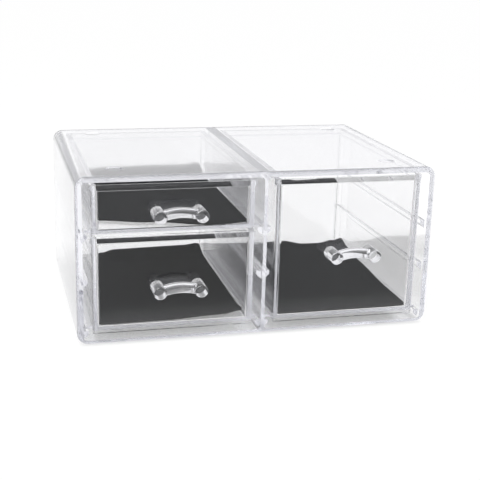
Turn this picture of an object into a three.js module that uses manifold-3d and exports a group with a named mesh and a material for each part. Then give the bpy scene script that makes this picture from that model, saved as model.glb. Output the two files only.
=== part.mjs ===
// Clear desk organizer: one moulded case with two bays, three sliding drawers with bow handles,
// a loose liner in each drawer and four bumper feet.
// Millimetres. +X is right, -Y is the front, +Z is up.
// The origin is the centre of the whole footprint, handles included, on the surface under the feet.

import * as THREE from 'three';
import { mergeVertices } from 'three/addons/utils/BufferGeometryUtils.js';
import Module from 'manifold-3d';

const wasm = await Module();
wasm.setup();

// Case
const caseWidth = 238;
const caseDepth = 165;
const caseHeight = 109;
const caseCornerRadius = 7;
const caseBackEdgeRadius = 3;
const caseFrontRound = 1.8;
const sideWall = 4.2;
const topWall = 3.7;
const floorWall = 2.6;
const backWall = 2.8;
const partitionWall = 2.4;
const partitionOffset = 2.6;
const bayCornerRadius = 2.5;
const bayDraft = 0.8;

// Runner ledges on the bay walls
const ledgeTops = [8, 42.2, 71.8];
const ledgeHeight = 5.6;
const ledgeReach = 3.2;
const ledgeNose = 2.4;
const ledgeSetback = 3;
const ledgeRoot = 1;

// Feet, and the dimples in the top that take the feet of a unit above
const footDiameter = 9;
const footProud = 1;
const footSeat = 0.8;
const footRound = 0.7;
const footSideClearance = 0.3;
const footInsetX = 27;
const footInsetY = 21.5;
const dimpleDiameter = 11;
const dimpleDepth = 0.7;

// Drawers
const drawerRecess = 0.5;
const drawerBackGap = 3.7;
const drawerSideGap = 4.8;
const trayWall = 2.8;
const windowWall = 2;
const trayFloor = 2;
const trayCornerRadius = 2.4;
const trayPocketRadius = 2.2;
const trayDraft = 0.4;
const trayFillet = 1.2;
const windowBorder = 4.3;
const windowTopBorder = 3.9;
const windowBottomBorder = 2.2;
const windowRecess = 0.8;
const windowCornerRadius = 1.5;
const rimHeight = 4.2;
const rimProud = 0.8;
const rimBevelHeight = 3.4;
const rimBevelDepth = 1.25;
const rimLip = 0.4;
const skirtDrop = 1.5;
const skirtCornerRadius = 1.3;
const runnerGap = 0.3;
const runnerHeight = 1.6;
const runnerOverlap = 1.7;
const runnerFrontInset = 6;
const ceilingGap = 1.7;
const stackGap = 0.9;

// Handles
const postDiameter = 8.4;
const postSpacing = 26.4;
const postLength = 14;
const postChamfer = 0.5;
const postSeatDepth = 0.5;
const postSeatClearance = 0.15;
const postSeatGap = 0.05;
const barHeight = 5.8;
const barDepth = 9;
const barOffset = 9;
const barRise = 2.6;
const handleAside = 2;
const handleDrop = 2.5;

// Liners
const linerThickness = 1.2;
const linerSideGap = 0.6;
const linerCornerRadius = 3;
const linerLift = 0.3;

// Facets, and the overrun of a cutter past the face that it opens
const cornerSteps = 9;
const edgeSteps = 6;
const filletSteps = 5;
const roundSides = 32;
const barSides = 16;
const barSteps = 14;
const overrun = 1;

const halfCaseWidth = caseWidth / 2;
const handleReach = postLength - drawerRecess - windowRecess;
const frontY = -(caseDepth - handleReach) / 2;
const backY = frontY + caseDepth;
const caseBase = footProud;
const caseTop = caseBase + caseHeight;
const baysBottom = caseBase + floorWall;
const baysTop = caseTop - topWall;
const baysBack = backY - backWall;
const drawerFrontY = frontY + drawerRecess;
const drawerBackY = baysBack - drawerBackGap;

const bays = {
  left: {
    left: -halfCaseWidth + sideWall,
    right: partitionOffset - partitionWall / 2,
  },
  right: {
    left: partitionOffset + partitionWall / 2,
    right: halfCaseWidth - sideWall,
  },
};

const clearPlastic = () => new THREE.MeshStandardMaterial({
  color: 0xf1f4f6, roughness: 0.06, metalness: 0, transparent: true, opacity: 0.3,
});
const liner = () => new THREE.MeshStandardMaterial({ color: 0x424345, roughness: 0.92, metalness: 0 });
const softClear = () => new THREE.MeshStandardMaterial({
  color: 0xe4e8ea, roughness: 0.3, metalness: 0, transparent: true, opacity: 0.6,
});

// Solids in and out of the boolean library

function toSolid(geometry) {
  const bare = geometry.clone();
  bare.deleteAttribute('normal');
  bare.deleteAttribute('uv');
  const merged = mergeVertices(bare);
  return new wasm.Manifold(new wasm.Mesh({
    numProp: 3,
    vertProperties: new Float32Array(merged.attributes.position.array),
    triVerts: new Uint32Array(merged.index.array),
  }));
}

function toGeometry(solid) {
  const mesh = solid.getMesh();
  const geometry = new THREE.BufferGeometry();
  geometry.setAttribute('position', new THREE.BufferAttribute(mesh.vertProperties, 3));
  geometry.setIndex(new THREE.BufferAttribute(mesh.triVerts, 1));
  geometry.computeVertexNormals();
  return geometry;
}

function join(geometries) {
  return geometries.map(toSolid).reduce((whole, piece) => whole.add(piece));
}

function cut(solid, geometries) {
  return geometries.map(toSolid).reduce((whole, piece) => whole.subtract(piece), solid);
}

// Outlines and lofts

// A rounded rectangle's points, anticlockwise from its lower right corner.
function roundedRectangle({ left, right, bottom, top, radius }) {
  const corners = [
    [right - radius, bottom + radius, -Math.PI / 2],
    [right - radius, top - radius, 0],
    [left + radius, top - radius, Math.PI / 2],
    [left + radius, bottom + radius, Math.PI],
  ];
  const points = [];
  for (const [x, y, start] of corners) {
    for (let step = 0; step <= cornerSteps; step++) {
      const angle = start + (step / cornerSteps) * (Math.PI / 2);
      points.push([x + radius * Math.cos(angle), y + radius * Math.sin(angle)]);
    }
  }
  return points;
}

// The same rectangle drawn in by an inset on every side.
function inset(rectangle, amount) {
  return {
    left: rectangle.left + amount,
    right: rectangle.right - amount,
    bottom: rectangle.bottom + amount,
    top: rectangle.top - amount,
    radius: rectangle.radius - amount,
  };
}

// A closed solid through rings of equally many points, each anticlockwise as seen from the ring after it.
function skin(rings) {
  const positions = rings.flat(2);
  const indices = [];
  const count = rings[0].length;
  for (let ring = 0; ring + 1 < rings.length; ring++) {
    for (let i = 0; i < count; i++) {
      const a = ring * count + i;
      const b = ring * count + ((i + 1) % count);
      indices.push(a, b, b + count, a, b + count, a + count);
    }
  }
  for (const end of [0, rings.length - 1]) {
    const centre = positions.length / 3;
    for (const axis of [0, 1, 2]) {
      positions.push(rings[end].reduce((sum, point) => sum + point[axis], 0) / count);
    }
    for (let i = 0; i < count; i++) {
      const a = end * count + i;
      const b = end * count + ((i + 1) % count);
      indices.push(...(end === 0 ? [centre, b, a] : [centre, a, b]));
    }
  }
  const geometry = new THREE.BufferGeometry();
  geometry.setAttribute('position', new THREE.Float32BufferAttribute(positions, 3));
  geometry.setIndex(indices);
  return geometry;
}

// A closed solid through rounded rectangles at rising levels.
function loft(sections) {
  return skin(sections.map(({ level, rectangle }) => (
    roundedRectangle(rectangle).map(([x, y]) => [x, y, level])
  )));
}

// A loft whose outlines stand upright: x and z in the outline, levels counted from y = 0 to the front.
function loftToFront(sections) {
  return loft(sections.map(({ y, rectangle }) => ({ level: -y, rectangle }))).rotateX(Math.PI / 2);
}

// A cylinder along Z between two heights.
function upright(diameter, x, y, bottom, top) {
  const cylinder = new THREE.CylinderGeometry(diameter / 2, diameter / 2, top - bottom, roundSides);
  return cylinder.rotateX(Math.PI / 2).translate(x, y, (bottom + top) / 2);
}

// A cylinder along Y between a front and a back.
function lengthwise(diameter, x, z, front, back) {
  const cylinder = new THREE.CylinderGeometry(diameter / 2, diameter / 2, back - front, roundSides);
  return cylinder.translate(x, (front + back) / 2, z);
}

// Case

function caseOuter() {
  const full = {
    left: -halfCaseWidth,
    right: halfCaseWidth,
    bottom: caseBase,
    top: caseTop,
    radius: caseCornerRadius,
  };
  const quarter = Array.from({ length: edgeSteps + 1 }, (_, step) => (step / edgeSteps) * (Math.PI / 2));
  const backEdge = quarter.map((angle) => ({
    y: backY - caseBackEdgeRadius * (1 - Math.cos(angle)),
    rectangle: inset(full, caseBackEdgeRadius * (1 - Math.sin(angle))),
  }));
  const frontEdge = quarter.map((angle) => ({
    y: frontY + caseFrontRound * (1 - Math.sin(angle)),
    rectangle: inset(full, caseFrontRound * (1 - Math.cos(angle))),
  }));
  return loftToFront([...backEdge, ...frontEdge]);
}

function bayCutter(bay) {
  const mouth = {
    left: bay.left,
    right: bay.right,
    bottom: baysBottom,
    top: baysTop,
    radius: bayCornerRadius,
  };
  const end = { ...mouth, left: bay.left + bayDraft, right: bay.right - bayDraft };
  return loftToFront([
    { y: baysBack, rectangle: end },
    { y: frontY, rectangle: mouth },
    { y: frontY - overrun, rectangle: mouth },
  ]);
}

// A ledge on one wall of a bay: a flat running surface over a slanted underside.
function ledge(wallX, inward, top) {
  const root = wallX - inward * ledgeRoot;
  const nose = wallX + inward * ledgeReach;
  const points = [
    [root, top],
    [nose, top],
    [nose, top - ledgeNose],
    [wallX, top - ledgeHeight],
    [root, top - ledgeHeight],
  ];
  if (inward > 0) {
    points.reverse();
  }
  const shape = new THREE.Shape(points.map(([x, z]) => new THREE.Vector2(x, z)));
  const length = baysBack + overrun - (frontY + ledgeSetback);
  const bar = new THREE.ExtrudeGeometry(shape, { depth: length, bevelEnabled: false });
  return bar.rotateX(Math.PI / 2).translate(0, baysBack + overrun, 0);
}

function ledges() {
  const all = [];
  for (const bay of Object.values(bays)) {
    for (const top of ledgeTops) {
      all.push(ledge(bay.left, 1, caseBase + top));
      all.push(ledge(bay.right, -1, caseBase + top));
    }
  }
  return all;
}

const footPlaces = {
  front_left: [-halfCaseWidth + footInsetX, frontY + footInsetY],
  front_right: [halfCaseWidth - footInsetX, frontY + footInsetY],
  rear_left: [-halfCaseWidth + footInsetX, backY - footInsetY],
  rear_right: [halfCaseWidth - footInsetX, backY - footInsetY],
};

function caseGeometry() {
  const hollow = cut(toSolid(caseOuter()), Object.values(bays).map(bayCutter));
  const withLedges = ledges().map(toSolid).reduce((whole, piece) => whole.add(piece), hollow);
  const seatDiameter = footDiameter + 2 * footSideClearance;
  const recesses = [];
  for (const [x, y] of Object.values(footPlaces)) {
    recesses.push(upright(seatDiameter, x, y, caseBase - overrun, caseBase + footSeat));
    recesses.push(upright(dimpleDiameter, x, y, caseTop - dimpleDepth, caseTop + overrun));
  }
  return toGeometry(cut(withLedges, recesses));
}

// Feet

function footGeometry() {
  const radius = footDiameter / 2;
  const height = footProud + footSeat;
  const profile = [new THREE.Vector2(0, 0)];
  for (let step = 0; step <= cornerSteps; step++) {
    const angle = (step / cornerSteps) * (Math.PI / 2);
    profile.push(new THREE.Vector2(
      radius - footRound * (1 - Math.sin(angle)),
      footRound * (1 - Math.cos(angle)),
    ));
  }
  profile.push(new THREE.Vector2(radius, height));
  profile.push(new THREE.Vector2(0, height));
  return new THREE.LatheGeometry(profile, roundSides).rotateX(Math.PI / 2);
}

// Drawers

// Each drawer's bay, the ledge that it runs on, its top, and how far its liner stops behind the front.
const drawers = [
  {
    name: 'top_left',
    bay: bays.left,
    ledgeTop: caseBase + ledgeTops[2],
    top: baysTop - ceilingGap,
    linerFrontGap: 20,
  },
  {
    name: 'lower_left',
    bay: bays.left,
    ledgeTop: caseBase + ledgeTops[0],
    top: caseBase + ledgeTops[2] + runnerGap - skirtDrop - stackGap,
    linerFrontGap: 17,
  },
  {
    name: 'right',
    bay: bays.right,
    ledgeTop: caseBase + ledgeTops[0],
    top: baysTop - ceilingGap,
    linerFrontGap: 5,
  },
];

// The plan outline of a drawer at its rim.
function rimPlan(drawer) {
  return {
    left: drawer.bay.left + drawerSideGap,
    right: drawer.bay.right - drawerSideGap,
    bottom: drawerFrontY,
    top: drawerBackY,
    radius: trayCornerRadius,
  };
}

// The plan outline of the tray's walls: the front stays in the rim's plane, the rest is drawn in.
function wallPlan(drawer) {
  const rim = rimPlan(drawer);
  return {
    left: rim.left + rimProud,
    right: rim.right - rimProud,
    bottom: rim.bottom,
    top: rim.top - rimProud,
    radius: trayCornerRadius - rimProud,
  };
}

function drawerUnderside(drawer) {
  return drawer.ledgeTop + runnerGap;
}

function drawerSkirtBottom(drawer) {
  return drawerUnderside(drawer) - skirtDrop;
}

function handlePlace(drawer) {
  const middle = (drawerSkirtBottom(drawer) + drawer.top) / 2;
  return { x: (drawer.bay.left + drawer.bay.right) / 2 + handleAside, z: middle - handleDrop };
}

function runnerFlanges(drawer) {
  const plan = wallPlan(drawer);
  const reach = ledgeReach - runnerOverlap;
  const bottom = drawerUnderside(drawer);
  const front = drawerFrontY + runnerFrontInset;
  const back = plan.top - trayCornerRadius;
  const flanges = [];
  for (const [outer, inner] of [
    [drawer.bay.left + reach, plan.left + trayWall],
    [drawer.bay.right - reach, plan.right - trayWall],
  ]) {
    const box = new THREE.BoxGeometry(Math.abs(outer - inner), back - front, runnerHeight);
    flanges.push(box.translate((outer + inner) / 2, (front + back) / 2, bottom + runnerHeight / 2));
  }
  return flanges;
}

// The pocket's plan at the rim: a wall's thickness inside the tray, and the window's own behind it.
function pocketPlan(drawer) {
  const inner = inset(wallPlan(drawer), trayWall);
  return { ...inner, bottom: drawerFrontY + windowRecess + windowWall, radius: trayPocketRadius };
}

// The pocket's plan just above the fillet round its floor.
function pocketFloorPlan(drawer) {
  return { ...inset(pocketPlan(drawer), trayDraft), radius: trayPocketRadius };
}

function pocketCutter(drawer) {
  const floorTop = drawerUnderside(drawer) + trayFloor;
  const sections = [];
  for (let step = 0; step <= filletSteps; step++) {
    const angle = (step / filletSteps) * (Math.PI / 2);
    sections.push({
      level: floorTop + trayFillet * (1 - Math.cos(angle)),
      rectangle: inset(pocketFloorPlan(drawer), trayFillet * (1 - Math.sin(angle))),
    });
  }
  sections.push({ level: drawer.top + overrun, rectangle: pocketPlan(drawer) });
  return loft(sections);
}

// The shallow window that leaves a raised border round the drawer's front.
function windowCutter(drawer) {
  const rim = rimPlan(drawer);
  const pane = {
    left: rim.left + windowBorder,
    right: rim.right - windowBorder,
    bottom: drawerSkirtBottom(drawer) + windowBottomBorder,
    top: drawer.top - windowTopBorder,
    radius: windowCornerRadius,
  };
  return loftToFront([
    { y: drawerFrontY + windowRecess, rectangle: pane },
    { y: drawerFrontY - overrun, rectangle: pane },
  ]);
}

// A bevel behind the upper border of the window, which thins the front wall towards its top edge.
function rimBevelCutter(drawer) {
  const rim = rimPlan(drawer);
  const inner = pocketPlan(drawer).bottom;
  const high = drawer.top - rimLip;
  const low = high - rimBevelHeight;
  const shape = new THREE.Shape([
    [low, inner],
    [low, inner + overrun],
    [drawer.top + overrun, inner + overrun],
    [drawer.top + overrun, inner - rimBevelDepth],
    [high, inner - rimBevelDepth],
  ].map(([z, y]) => new THREE.Vector2(-z, y)));
  const length = rim.right - rim.left - 2 * windowBorder;
  const wedge = new THREE.ExtrudeGeometry(shape, { depth: length, bevelEnabled: false });
  return wedge.rotateY(Math.PI / 2).translate(rim.left + windowBorder, 0, 0);
}

function trayGeometry(drawer) {
  const plan = wallPlan(drawer);
  const rim = rimPlan(drawer);
  const underside = drawerUnderside(drawer);
  const floorTop = underside + trayFloor;
  const foot = { ...inset(plan, trayDraft), bottom: plan.bottom };
  const frontWall = windowRecess + windowWall;
  const walls = loft([
    { level: underside, rectangle: foot },
    { level: drawer.top, rectangle: plan },
  ]);
  const band = loft([
    { level: drawer.top - rimHeight, rectangle: plan },
    { level: drawer.top - rimHeight + rimProud, rectangle: rim },
    { level: drawer.top, rectangle: rim },
  ]);
  const skirtPlan = {
    left: foot.left,
    right: foot.right,
    bottom: drawerFrontY,
    top: drawerFrontY + frontWall,
    radius: skirtCornerRadius,
  };
  const skirt = loft([
    { level: drawerSkirtBottom(drawer), rectangle: skirtPlan },
    { level: floorTop, rectangle: skirtPlan },
  ]);
  const { x, z } = handlePlace(drawer);
  const seats = [-1, 1].map((side) => lengthwise(
    postDiameter + 2 * postSeatClearance,
    x + side * postSpacing / 2,
    z,
    drawerFrontY - overrun,
    drawerFrontY + windowRecess + postSeatDepth,
  ));
  const outside = join([walls, band, skirt, ...runnerFlanges(drawer)]);
  return toGeometry(cut(outside, [
    pocketCutter(drawer),
    windowCutter(drawer),
    rimBevelCutter(drawer),
    ...seats,
  ]));
}

// Handles

// A post along Y with a chamfered free end. Its other end is cemented into a shallow seat in the window.
function post(x) {
  const radius = postDiameter / 2;
  const sunk = postSeatDepth - postSeatGap;
  const profile = [
    [0, -sunk],
    [radius, -sunk],
    [radius, postLength - postChamfer],
    [radius - postChamfer, postLength],
    [0, postLength],
  ].map(([r, height]) => new THREE.Vector2(r, height));
  return new THREE.LatheGeometry(profile, roundSides).rotateX(Math.PI).translate(x, 0, 0);
}

// The bar between the posts: flat below and domed above, along a shallow arch.
function bar() {
  const rings = [];
  for (let step = 0; step <= barSteps; step++) {
    const share = step / barSteps;
    const rise = barRise * (1 - (2 * share - 1) ** 2);
    const ring = [];
    for (let side = 0; side <= barSides; side++) {
      const angle = (side / barSides) * Math.PI;
      ring.push([
        postSpacing * (share - 1 / 2),
        (barDepth / 2) * Math.cos(angle) - barOffset,
        barHeight * (Math.sin(angle) - 1 / 2) + rise,
      ]);
    }
    rings.push(ring);
  }
  return skin(rings);
}

function handleGeometry() {
  const half = postSpacing / 2;
  return toGeometry(join([post(-half), post(half), bar()]));
}

// Liners

function linerGeometry(drawer) {
  const floorPlan = inset(pocketFloorPlan(drawer), trayFillet);
  const sheet = {
    left: floorPlan.left + linerSideGap,
    right: floorPlan.right - linerSideGap,
    bottom: floorPlan.bottom + drawer.linerFrontGap,
    top: floorPlan.top - linerSideGap,
    radius: linerCornerRadius,
  };
  const bottom = drawerUnderside(drawer) + trayFloor + linerLift;
  return loft([
    { level: bottom, rectangle: sheet },
    { level: bottom + linerThickness, rectangle: sheet },
  ]);
}

// Assembly

const group = new THREE.Group();

function place(name, geometry, material, x = 0, y = 0, z = 0) {
  const mesh = new THREE.Mesh(geometry, material);
  mesh.name = name;
  mesh.position.set(x, y, z);
  group.add(mesh);
}

place('case', caseGeometry(), clearPlastic());

for (const [corner, [x, y]] of Object.entries(footPlaces)) {
  place(`foot_${corner}`, footGeometry(), softClear(), x, y, 0);
}

for (const drawer of drawers) {
  const { x, z } = handlePlace(drawer);
  place(`drawer_${drawer.name}`, trayGeometry(drawer), clearPlastic());
  place(`handle_${drawer.name}`, handleGeometry(), clearPlastic(), x, drawerFrontY + windowRecess, z);
  place(`liner_${drawer.name}`, linerGeometry(drawer), liner());
}

export default group;
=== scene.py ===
# Looks of the clear desk organizer: clear moulded plastic, charcoal felt mats, soft feet, a white studio.
# Metres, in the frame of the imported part: +X is right, -Y is the front, +Z is up.

import math

import bpy
from mathutils import Matrix, Vector, noise


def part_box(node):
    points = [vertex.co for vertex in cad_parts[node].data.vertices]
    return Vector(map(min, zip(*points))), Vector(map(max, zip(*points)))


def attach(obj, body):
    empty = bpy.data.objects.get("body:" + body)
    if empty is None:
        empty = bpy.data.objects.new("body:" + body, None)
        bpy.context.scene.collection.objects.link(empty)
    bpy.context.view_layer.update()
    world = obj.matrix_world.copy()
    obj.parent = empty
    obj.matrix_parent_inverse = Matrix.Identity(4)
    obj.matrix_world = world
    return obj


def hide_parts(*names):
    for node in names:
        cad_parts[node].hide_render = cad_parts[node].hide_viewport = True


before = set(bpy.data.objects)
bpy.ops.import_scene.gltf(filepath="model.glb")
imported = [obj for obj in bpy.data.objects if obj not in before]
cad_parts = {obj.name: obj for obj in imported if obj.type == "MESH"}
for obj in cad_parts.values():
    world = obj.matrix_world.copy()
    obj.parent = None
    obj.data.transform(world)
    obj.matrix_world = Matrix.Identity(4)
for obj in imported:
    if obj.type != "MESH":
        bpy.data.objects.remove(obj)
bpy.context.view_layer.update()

MM = 0.001
WHITE = (1, 1, 1, 1)

# Camera, fitted to the edges of the case in the photograph
PHOTO_PIXELS = 480
FOCAL_PIXELS = 1020.9
SENSOR_WIDTH = 36.0
CAMERA_AZIMUTH = math.radians(-14.78)
CAMERA_ELEVATION = math.radians(16.25)
CAMERA_ROLL = math.radians(1.5)
CAMERA_DISTANCE = 655.5 * MM
CAMERA_CLIP = (10 * MM, 100.0)
AIM_ASIDE = -14.2 * MM
AIM_HEIGHT = 65.7 * MM

# Light paths, long enough for light that is guided along inside the clear walls
LIGHT_BOUNCES = 64

# Surround: its level as light and where it is seen, and its tones in the clear plastic, by direction
# from -1, straight in front of the part, to 1, straight behind it
WORLD_LEVEL = 0.62
WORLD_SEEN = 1.06
WORLD_TONES = (
    (-1.0, (0.95, 0.95, 0.98)),
    (-0.65, (0.88, 0.88, 0.92)),
    (-0.1, (0.78, 0.775, 0.82)),
    (0.4, (0.84, 0.835, 0.87)),
    (0.7, (0.86, 0.86, 0.88)),
)

# Floor: how white it is where it is seen, and the share of that whiteness in the open and under the part,
# where the rest is paint that takes the shadow
# The smaller share under the part is set by ambient occlusion: painted contact shade, on top of the real
# shadow in the paint
FLOOR_SIZE = 40.0
FLOOR_ALBEDO = 0.8
FLOOR_SEEN = 1.05
OPEN_WHITENESS = 0.9
UNDER_WHITENESS = 0.45
UNDER_REACH = 3 * MM

# Floor in the clear plastic: its level in front of, left of and behind the part, and where it changes
# Painted shade in front and to the left and painted light behind, seen only in reflections and
# refractions
FRONT_FLOOR = 0.35
FRONT_FLOOR_FADE = (-140 * MM, -88 * MM)
LEFT_FLOOR = 0.55
LEFT_FLOOR_FADE = (-450 * MM, -140 * MM)
BACK_FLOOR = 1.2
BACK_FLOOR_FADE = (90 * MM, 160 * MM)

# Lamp
KEY_SIZE = 0.9
KEY_POWER = 9.0
KEY_PLACE = (-0.7, -0.5, 1.1)

# Clear plastic: its roughness varies by POLISH_SPREAD, and grows by scatter for light that has met the
# plastic's faces from the first to the second SCATTER_DEPTH times
PLASTIC_IOR = 1.585
PLASTIC_DENSITY = 3.5
PLASTIC_DEPTH_TINT = (0.74, 0.75, 0.82)
SHADOW_TINT = (0.93, 0.935, 0.94)
CRYSTAL = (0.997, 0.997, 1.0)
MILKY = (0.9, 0.9, 0.91)
RIPPLE_GRAIN = {"Scale": 55.0, "Detail": 1.0}
POLISH_GRAIN = {"Scale": 240.0, "Detail": 3.0}
POLISH_SPREAD = 0.5
SCATTER_DEPTH = (3.0, 7.0)
PLASTICS = {
    "clear_case": {"tint": CRYSTAL, "roughness": 0.03, "scatter": 0.12, "ripple": 0.002 * MM},
    "clear_drawer": {"tint": CRYSTAL, "roughness": 0.025, "scatter": 0.12, "ripple": 0.002 * MM},
    "clear_handle": {"tint": CRYSTAL, "roughness": 0.02, "scatter": 0.05, "ripple": 0.001 * MM},
    "clear_foot": {"tint": MILKY, "roughness": 0.35, "scatter": 0.0, "ripple": 0.02 * MM},
}

# Smoothing of the CAD solids
MOULDING_SMOOTH = math.radians(17)
HANDLE_SMOOTH = math.radians(33)
WELD_GAP = 0.002 * MM
EDGE_ROUND = 0.25 * MM
EDGE_SEGMENTS = 2
EDGE_ANGLE = math.radians(38)
FACE_WEIGHT = 100

# Felt
FELT_COLOUR = (0.0117, 0.0125, 0.0143)
FELT_ROUGHNESS = 0.95
FELT_SPECULAR = 0.1
FELT_PILE = 0.12 * MM
FELT_PILE_STRENGTH = 0.6
FIBRE_GRAIN = {"Scale": 1400.0, "Detail": 4.0, "Roughness": 0.7}
FIBRE_SHARE = 0.35
CLOUD_GRAIN = {"Scale": 40.0, "Detail": 2.0}
CLOUD_SHARE = 0.3
FELT_SHADES = (0.78, 1.42)

# Mats: the grid of each, and how far it spreads past the plain slab that it replaces
MAT_ROWS = 60
MAT_COLUMNS = 44
MAT_CROWDING = 0.6
MAT_THICKNESS = 1.2 * MM
MAT_SPREAD = 1.4 * MM
MAT_BACK_SPREAD = 1.2 * MM
MAT_CORNER = 3.0 * MM

# Curls and waves of the mats: where each begins and how far on it is full, as shares of a mat's length
# or width, and the waves' height in millimetres, their number to the metre and how much of them is
# left away from the back
BACK_CURL = (0.86, 0.14)
SIDE_CURL = (0.9, 0.1)
BACK_WAVE = (0.7, 0.3)
WAVE_HEIGHT = 0.7
WAVE_SCALE = 28
WAVE_ELSEWHERE = 0.25

# What each mat adds to its slab's front edge, right edge and height, in millimetres, at shares of its
# width (front, back_lift) or length (side, side_lift)
MATS = {
    "top_left": {
        "body": "top_left_drawer",
        "front": ((0, 0.5), (0.36, -8.5), (0.78, -20.3), (1, -18.7)),
        "side": ((0, 0), (1, -1)),
        "back_lift": ((0, 2), (1, 3)),
        "side_lift": ((0, 0.5), (1, 1)),
        "seed": 3.1,
    },
    "lower_left": {
        "body": "lower_left_drawer",
        "front": ((0, -15.5), (0.45, -15), (0.8, -11), (1, -9)),
        "side": ((0, 0), (0.1, -1), (0.5, -0.4), (1, 0)),
        "back_lift": ((0, 0.6), (0.2, 0.9), (0.3, 3.2), (1, 4)),
        "side_lift": ((0, 1.2), (0.1, 0.2), (0.7, 0.6), (1, 1)),
        "seed": 7.7,
    },
    "right": {
        "body": "right_drawer",
        "front": ((0, -5.4), (1, -5)),
        "side": ((0, 0.3), (1, 0.3)),
        "back_lift": ((0, 3), (0.53, 3.5), (0.72, 0.5), (0.86, 0.4), (1, 1.5)),
        "side_lift": ((0, 0.3), (0.23, 0.5), (0.62, 3.4), (0.79, 6.5), (0.87, 9), (1, 1)),
        "seed": 12.4,
    },
}


class Nodes:
    """A short way to write a tree of shader nodes."""

    def __init__(self, tree):
        self.tree = tree
        tree.nodes.clear()

    def add(self, kind, **inputs):
        """A node with its inputs set, each named with underscores for spaces."""
        node = self.tree.nodes.new(kind)
        for name, value in inputs.items():
            self.set(node, name.replace("_", " "), value)
        return node

    def set(self, node, name, value):
        """One input set to a value, or linked to another node's output."""
        socket = node.inputs[name]
        if isinstance(value, bpy.types.NodeSocket):
            self.tree.links.new(value, socket)
        else:
            socket.default_value = value

    def maths(self, operation, a, b):
        """Two values joined by a Math node."""
        node = self.tree.nodes.new("ShaderNodeMath")
        node.operation = operation
        self.set(node, 0, a)
        self.set(node, 1, b)
        return node.outputs[0]

    def span(self, value, low, high, start=0.0, end=1.0):
        """A value from start to end spread from low to high."""
        node = self.add("ShaderNodeMapRange", Value=value)
        self.set(node, "From Min", start)
        self.set(node, "From Max", end)
        self.set(node, "To Min", low)
        self.set(node, "To Max", high)
        return node.outputs["Result"]

    def part(self, output, axis):
        """One axis of a texture coordinate."""
        place = self.add("ShaderNodeTexCoord").outputs[output]
        return self.add("ShaderNodeSeparateXYZ", Vector=place).outputs[axis]

    def grain(self, pattern):
        """Noise fixed to the object."""
        place = self.add("ShaderNodeTexCoord").outputs["Object"]
        return self.add("ShaderNodeTexNoise", Vector=place, **pattern).outputs["Fac"]

    def rays(self, *kinds):
        """1 for rays of these kinds, else 0."""
        path = self.add("ShaderNodeLightPath")
        found = path.outputs[kinds[0]]
        for kind in kinds[1:]:
            found = self.maths("MAXIMUM", found, path.outputs[kind])
        return found

    def colours(self, share, first, second, kind="MIX"):
        """Two colours mixed, or multiplied, by a share. Sockets 6 and 7 and output 2 are the colours'."""
        node = self.add("ShaderNodeMix")
        node.data_type = "RGBA"
        node.blend_type = kind
        self.set(node, 0, share)
        self.set(node, 6, first)
        self.set(node, 7, second)
        return node.outputs[2]

    def shaders(self, share, first, second):
        """Two shaders mixed by a share."""
        node = self.add("ShaderNodeMixShader")
        self.set(node, 0, share)
        self.set(node, 1, first.outputs[0])
        self.set(node, 2, second.outputs[0])
        return node.outputs[0]

    def ramp(self, value, stops, start, end):
        """Colours at positions from start to end, smoothly joined."""
        node = self.add("ShaderNodeValToRGB", Fac=self.span(value, 0.0, 1.0, start, end))
        bands = node.color_ramp
        bands.interpolation = "EASE"
        while len(bands.elements) < len(stops):
            bands.elements.new(0.5)
        for element, (position, colour) in zip(bands.elements, stops):
            element.position = (position - start) / (end - start)
            element.color = (*colour, 1)
        return node.outputs["Color"]


def new_material(name):
    """A material and its empty tree."""
    material = bpy.data.materials.new(name)
    material.use_nodes = True
    return material, Nodes(material.node_tree)


def camera():
    """The camera of the photograph, with colours shown as they are written."""
    case_low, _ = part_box("case")
    azimuth, elevation = CAMERA_AZIMUTH, CAMERA_ELEVATION
    back = Vector((
        math.sin(azimuth) * math.cos(elevation),
        -math.cos(azimuth) * math.cos(elevation),
        math.sin(elevation),
    ))
    aim = Vector((AIM_ASIDE, case_low.y, AIM_HEIGHT))
    level_right = (-back).cross(Vector((0, 0, 1))).normalized()
    level_up = level_right.cross(-back)
    right = level_right * math.cos(CAMERA_ROLL) + level_up * math.sin(CAMERA_ROLL)
    up = level_up * math.cos(CAMERA_ROLL) - level_right * math.sin(CAMERA_ROLL)
    data = bpy.data.cameras.new("camera")
    data.sensor_width = SENSOR_WIDTH
    data.lens = FOCAL_PIXELS * SENSOR_WIDTH / PHOTO_PIXELS
    data.clip_start, data.clip_end = CAMERA_CLIP
    cam = bpy.data.objects.new("camera", data)
    cam.matrix_world = Matrix.Translation(aim + back * CAMERA_DISTANCE) @ Matrix((
        (right.x, up.x, back.x, 0),
        (right.y, up.y, back.y, 0),
        (right.z, up.z, back.z, 0),
        (0, 0, 0, 1),
    ))
    scene = bpy.context.scene
    scene.collection.objects.link(cam)
    scene.camera = cam
    scene.view_settings.view_transform = "Standard"


def light_paths():
    """Light followed through many walls."""
    cycles = bpy.context.scene.cycles
    cycles.max_bounces = LIGHT_BOUNCES
    cycles.transmission_bounces = LIGHT_BOUNCES
    cycles.glossy_bounces = LIGHT_BOUNCES
    cycles.transparent_max_bounces = LIGHT_BOUNCES


def surround():
    """A white surround with soft tones where the plastic mirrors or bends it into view."""
    world = bpy.data.worlds.new("white_surround")
    bpy.context.scene.world = world
    world.use_nodes = True
    nodes = Nodes(world.node_tree)
    camera_ray = nodes.rays("Is Camera Ray")
    seen = nodes.rays("Is Camera Ray", "Is Glossy Ray", "Is Transmission Ray")
    plain = nodes.maths("MAXIMUM", camera_ray, nodes.maths("SUBTRACT", 1.0, seen))
    tones = nodes.ramp(nodes.part("Generated", "Y"), WORLD_TONES, -1.0, 1.0)
    shine = nodes.add(
        "ShaderNodeBackground",
        Color=nodes.colours(plain, tones, WHITE),
        Strength=nodes.span(seen, WORLD_LEVEL, WORLD_SEEN),
    )
    nodes.add("ShaderNodeOutputWorld", Surface=shine.outputs[0])


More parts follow.
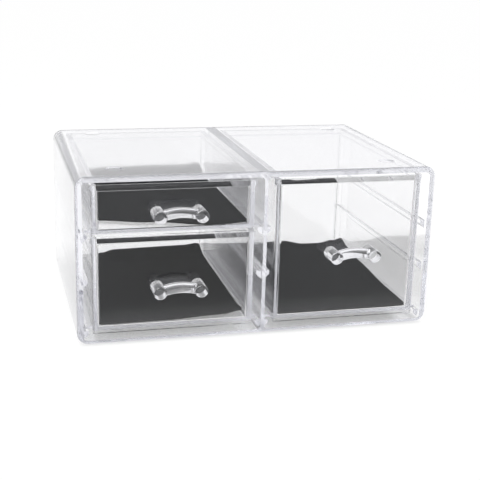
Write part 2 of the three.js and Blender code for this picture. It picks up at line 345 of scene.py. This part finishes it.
def white_floor():
    """A white floor that keeps the shadow of the part, with painted contact shade under it, and painted
    shade and light where the plastic shows it.
    """
    half = FLOOR_SIZE / 2
    corners = [(-half, -half, 0), (half, -half, 0), (half, half, 0), (-half, half, 0)]
    mesh = bpy.data.meshes.new("floor")
    mesh.from_pydata(corners, [], [(0, 1, 2, 3)])
    floor = bpy.data.objects.new("floor", mesh)
    bpy.context.scene.collection.objects.link(floor)
    material, nodes = new_material("white_floor")
    mesh.materials.append(material)

    camera_ray = nodes.rays("Is Camera Ray")
    seen = nodes.maths("MAXIMUM", camera_ray, nodes.rays("Is Glossy Ray", "Is Transmission Ray"))
    # Painted shade and light: seen in the plastic, the floor glows darker in front and to the left and
    # brighter behind
    ahead = nodes.span(nodes.part("Object", "Y"), FRONT_FLOOR, 1.0, *FRONT_FLOOR_FADE)
    behind = nodes.span(nodes.part("Object", "Y"), 1.0, BACK_FLOOR, *BACK_FLOOR_FADE)
    aside = nodes.span(nodes.part("Object", "X"), LEFT_FLOOR, 1.0, *LEFT_FLOOR_FADE)
    painted_mirror_level = nodes.maths("MULTIPLY", nodes.maths("MULTIPLY", ahead, behind), aside)
    paint = nodes.add("ShaderNodeBsdfDiffuse", Color=(FLOOR_ALBEDO, FLOOR_ALBEDO, FLOOR_ALBEDO, 1))
    glow = nodes.add(
        "ShaderNodeEmission",
        Color=WHITE,
        Strength=nodes.span(camera_ray, painted_mirror_level, FLOOR_SEEN),
    )
    # Painted contact shade: ambient occlusion lowers the glow's share under the part, so the floor
    # darkens there
    open_sky = nodes.add("ShaderNodeAmbientOcclusion", Distance=UNDER_REACH).outputs["AO"]
    whiteness = nodes.span(open_sky, UNDER_WHITENESS, OPEN_WHITENESS)
    surface = nodes.shaders(nodes.maths("MULTIPLY", seen, whiteness), paint, glow)
    nodes.add("ShaderNodeOutputMaterial", Surface=surface)


def key_lamp():
    """One soft lamp."""
    data = bpy.data.lights.new("key", "AREA")
    data.size = KEY_SIZE
    data.energy = KEY_POWER
    key = bpy.data.objects.new("key", data)
    key.location = KEY_PLACE
    key.rotation_mode = "QUATERNION"
    key.rotation_quaternion = (-Vector(KEY_PLACE)).to_track_quat("-Z", "Y")
    bpy.context.scene.collection.objects.link(key)


def clear_plastic(name, tint, roughness, scatter, ripple):
    """Clear moulded plastic.

    It is sharp where it is looked straight through. Light that has been reflected inside it many times
    is blurred, as by the small flaws of its surface. Shadows and soft light pass through it unbent.
    """
    material, nodes = new_material(name)
    bump = nodes.add(
        "ShaderNodeBump",
        Height=nodes.grain(RIPPLE_GRAIN),
        Distance=ripple,
        Strength=1.0,
    )
    polish = nodes.span(
        nodes.grain(POLISH_GRAIN),
        roughness * (1 - POLISH_SPREAD),
        roughness * (1 + POLISH_SPREAD),
    )
    depth = nodes.add("ShaderNodeLightPath").outputs["Ray Depth"]
    glass = nodes.add(
        "ShaderNodeBsdfPrincipled",
        Base_Color=(*tint, 1),
        Roughness=nodes.maths("ADD", polish, nodes.span(depth, 0.0, scatter, *SCATTER_DEPTH)),
        Normal=bump.outputs["Normal"],
        IOR=PLASTIC_IOR,
        Transmission_Weight=1.0,
    )
    unbent = nodes.add("ShaderNodeBsdfTransparent", Color=(*SHADOW_TINT, 1))
    inside = nodes.add(
        "ShaderNodeVolumeAbsorption",
        Color=(*PLASTIC_DEPTH_TINT, 1),
        Density=PLASTIC_DENSITY,
    )
    nodes.add(
        "ShaderNodeOutputMaterial",
        Surface=nodes.shaders(nodes.rays("Is Shadow Ray", "Is Diffuse Ray"), glass, unbent),
        Volume=inside.outputs[0],
    )
    return material


def felt(name):
    """Charcoal felt: fine fibres, and softer clouds where the pile lies another way."""
    material, nodes = new_material(name)
    fibre = nodes.grain(FIBRE_GRAIN)
    cloud = nodes.grain(CLOUD_GRAIN)
    shade = nodes.maths(
        "ADD",
        nodes.maths("MULTIPLY", fibre, FIBRE_SHARE),
        nodes.maths("MULTIPLY", cloud, CLOUD_SHARE),
    )
    pile = nodes.add(
        "ShaderNodeBump",
        Height=fibre,
        Distance=FELT_PILE,
        Strength=FELT_PILE_STRENGTH,
    )
    cloth = nodes.add(
        "ShaderNodeBsdfPrincipled",
        Base_Color=nodes.colours(1.0, (*FELT_COLOUR, 1), nodes.span(shade, *FELT_SHADES), "MULTIPLY"),
        Roughness=FELT_ROUGHNESS,
        Normal=pile.outputs["Normal"],
        Specular_IOR_Level=FELT_SPECULAR,
    )
    nodes.add("ShaderNodeOutputMaterial", Surface=cloth.outputs[0])
    return material


def soften(name, smooth_angle):
    """A node group that joins a CAD solid's faces and shades its curves smooth."""
    tree = bpy.data.node_groups.new(name, "GeometryNodeTree")
    tree.interface.new_socket("Geometry", in_out="INPUT", socket_type="NodeSocketGeometry")
    tree.interface.new_socket("Geometry", in_out="OUTPUT", socket_type="NodeSocketGeometry")
    add = tree.nodes.new
    link = tree.links.new
    source = add("NodeGroupInput")
    end = add("NodeGroupOutput")
    bare = add("GeometryNodeRemoveAttribute")
    bare.inputs["Name"].default_value = "custom_normal"
    weld = add("GeometryNodeMergeByDistance")
    weld.inputs["Distance"].default_value = WELD_GAP
    faces = add("GeometryNodeSetShadeSmooth")
    faces.domain = "FACE"
    faces.inputs["Shade Smooth"].default_value = True
    angle = add("GeometryNodeInputMeshEdgeAngle")
    gentle = add("FunctionNodeCompare")
    gentle.operation = "LESS_THAN"
    gentle.inputs[1].default_value = smooth_angle
    edges = add("GeometryNodeSetShadeSmooth")
    edges.domain = "EDGE"
    link(source.outputs[0], bare.inputs["Geometry"])
    link(bare.outputs["Geometry"], weld.inputs["Geometry"])
    link(weld.outputs["Geometry"], faces.inputs["Geometry"])
    link(faces.outputs["Geometry"], edges.inputs["Geometry"])
    link(angle.outputs["Unsigned Angle"], gentle.inputs[0])
    link(gentle.outputs["Result"], edges.inputs["Shade Smooth"])
    link(edges.outputs["Geometry"], end.inputs[0])
    return tree


def dress(node, material, smoothing, edge=0.0):
    """A finish, smooth curves and, where an edge is given, rounded edges for a CAD node."""
    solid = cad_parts[node]
    for slot in solid.material_slots:
        slot.material = material
    solid.modifiers.new("soften", "NODES").node_group = smoothing
    if edge:
        bevel = solid.modifiers.new("edges", "BEVEL")
        bevel.width = edge
        bevel.segments = EDGE_SEGMENTS
        bevel.limit_method = "ANGLE"
        bevel.angle_limit = EDGE_ANGLE
    level = solid.modifiers.new("flat_faces", "WEIGHTED_NORMAL")
    level.mode = "FACE_AREA"
    level.weight = FACE_WEIGHT
    level.keep_sharp = True


def ease(value):
    """A smooth step from 0 to 1."""
    value = min(max(value, 0.0), 1.0)
    return value * value * (3 - 2 * value)


def rise(share, span):
    """A smooth step over a span of shares, given by its start and its length."""
    start, length = span
    return ease((share - start) / length)


def along(table, share):
    """A value read from a table of (share, value) pairs, smoothly."""
    for (start, low), (end, high) in zip(table, table[1:]):
        if share <= end:
            return low + (high - low) * ease((share - start) / (end - start))
    return table[-1][1]


def steps(count, crowding):
    """Shares from 0 to 1, closer together at both ends."""
    shares = []
    for index in range(count + 1):
        share = index / count
        shares.append(share * (1 - crowding) + crowding * ease(share))
    return shares


def rounded(x, middle, side, from_end):
    """A place across the mat, drawn in where a corner is rounded."""
    if from_end >= MAT_CORNER:
        return x
    reach = min(MAT_CORNER - from_end, MAT_CORNER)
    cut = MAT_CORNER - math.sqrt(MAT_CORNER ** 2 - reach ** 2)
    return middle + (x - middle) * (1 - cut / (side - middle))


def mat_points(plan, low, high):
    """The underside of a mat, in rows from front to back, over the plain slab's box."""
    left = low.x - MAT_SPREAD
    right = high.x + MAT_SPREAD
    back = high.y + MAT_BACK_SPREAD
    points = []
    for back_share in steps(MAT_ROWS, MAT_CROWDING):
        for side_share in steps(MAT_COLUMNS, MAT_CROWDING):
            front = low.y + along(plan["front"], side_share) * MM
            side = right + along(plan["side"], back_share) * MM
            y = front + (back - front) * back_share
            x = left + (side - left) * side_share
            x = rounded(x, (left + side) / 2, side, min(y - front, back - y))
            wave = noise.noise(Vector((x, y, 0)) * WAVE_SCALE + Vector((plan["seed"], 0, 0)))
            wavy = WAVE_ELSEWHERE + (1 - WAVE_ELSEWHERE) * rise(back_share, BACK_WAVE)
            lift = along(plan["back_lift"], side_share) * rise(back_share, BACK_CURL)
            lift += along(plan["side_lift"], back_share) * rise(side_share, SIDE_CURL)
            lift += WAVE_HEIGHT * (1 + wave) / 2 * wavy
            points.append((x, y, low.z + lift * MM))
    return points


def mat_faces():
    """The quads of a mat's grid."""
    width = MAT_COLUMNS + 1
    faces = []
    for row in range(MAT_ROWS):
        for column in range(MAT_COLUMNS):
            corner = row * width + column
            faces.append((corner, corner + 1, corner + width + 1, corner + width))
    return faces


def liner(place, plan, felt_finish):
    """A soft mat that lies in a drawer, with wavy edges that curl up at the back."""
    low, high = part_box(f"liner_{place}")
    mesh = bpy.data.meshes.new(f"mat_{place}")
    mesh.from_pydata(mat_points(plan, low, high), [], mat_faces())
    mesh.shade_smooth()
    mesh.materials.append(felt_finish)
    mat = bpy.data.objects.new(f"mat_{place}", mesh)
    bpy.context.scene.collection.objects.link(mat)
    thick = mat.modifiers.new("thickness", "SOLIDIFY")
    thick.thickness = MAT_THICKNESS
    thick.offset = 1.0
    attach(mat, plan["body"])
    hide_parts(f"liner_{place}")


camera()
light_paths()
surround()
white_floor()
key_lamp()

plastics = {name: clear_plastic(name, **recipe) for name, recipe in PLASTICS.items()}
liner_felt = felt("charcoal_liner")
moulding = soften("soften_moulding", MOULDING_SMOOTH)
turned = soften("soften_handle", HANDLE_SMOOTH)

dress("case", plastics["clear_case"], moulding)
for place in MATS:
    dress(f"drawer_{place}", plastics["clear_drawer"], moulding)
    dress(f"handle_{place}", plastics["clear_handle"], turned, EDGE_ROUND)
for corner in ("front_left", "front_right", "rear_left", "rear_right"):
    dress(f"foot_{corner}", plastics["clear_foot"], turned, EDGE_ROUND)
for place, plan in MATS.items():
    liner(place, plan, liner_felt)
